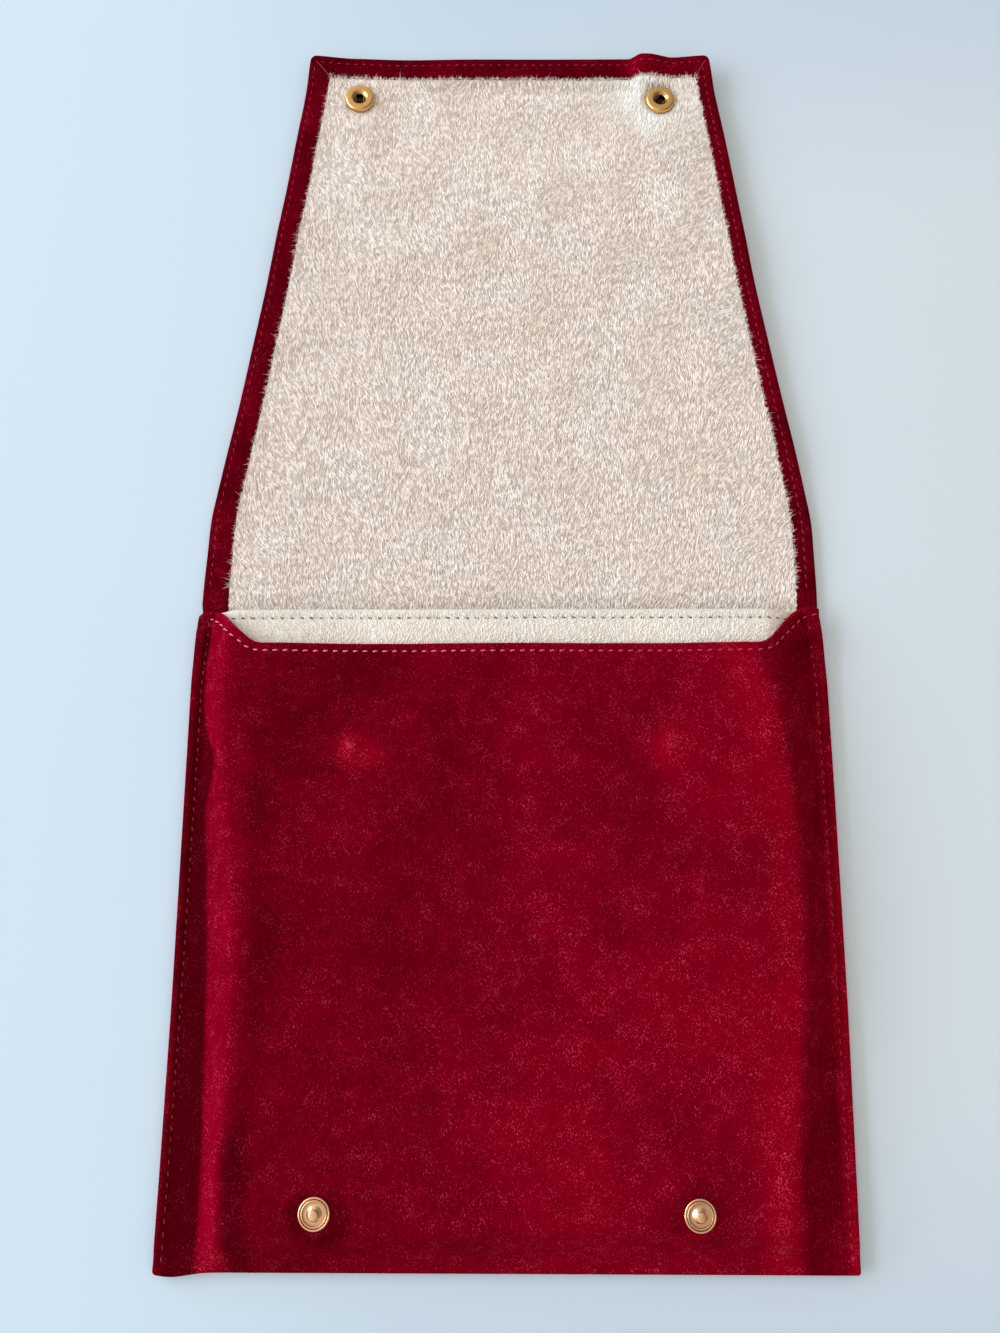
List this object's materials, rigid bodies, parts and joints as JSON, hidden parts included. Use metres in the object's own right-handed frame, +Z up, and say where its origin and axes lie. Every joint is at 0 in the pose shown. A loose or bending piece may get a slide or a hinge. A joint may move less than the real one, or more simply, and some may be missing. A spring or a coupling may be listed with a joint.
{
  "type": "jewelry pouch",
  "caption": "Flat suede envelope pouch with a plush lining, an inner pocket panel and a long tapered flap that folds over the front and closes on press studs.",
  "frame": {"origin": "centre of the open pouch's outline, on the surface it lies on", "axes": "+X across the pouch, +Y from the pouch towards the end of the open flap, +Z up"},
  "size_m": [0.2, 0.4012, 0.0129],
  "materials": {
    "suede": "napped crimson suede",
    "plush": "short cream pile",
    "brass": "polished gold plate",
    "spring_wire": "drawn wire"
  },
  "bodies": {
    "pouch": {"back_panel": "suede", "front_panel": "suede", "back_lining": "plush", "front_lining": "plush", "pocket_panel": "plush", "left_stud": "brass", "left_stud_rivet": "brass", "right_stud": "brass", "right_stud_rivet": "brass", "left_pocket_cap": "brass", "left_pocket_socket": "brass", "left_pocket_stud": "brass", "left_pocket_rivet": "brass", "right_pocket_cap": "brass", "right_pocket_socket": "brass", "right_pocket_stud": "brass", "right_pocket_rivet": "brass"},
    "fold": {"fold_panel": "suede", "fold_lining": "plush"},
    "flap": {"flap_panel": "suede", "flap_lining": "plush", "left_snap_cap": "brass", "left_snap_socket": "brass", "left_snap_spring": "spring_wire", "right_snap_cap": "brass", "right_snap_socket": "brass", "right_snap_spring": "spring_wire"}
  },
  "joints": [
    {"name": "mouth_crease", "type": "hinge", "parent": "pouch", "child": "fold", "pos_m": [0, -0.0066, 0.0014], "axis": [1, 0, 0], "range_deg": [0, 90]},
    {"name": "flap_crease", "type": "hinge", "parent": "fold", "child": "flap", "pos_m": [0, 0.0066, 0.0014], "axis": [1, 0, 0], "range_deg": [0, 90]}
  ],
  "couplings": [
    {"joint": "flap_crease", "follows": "mouth_crease", "ratio": 1}
  ]
}
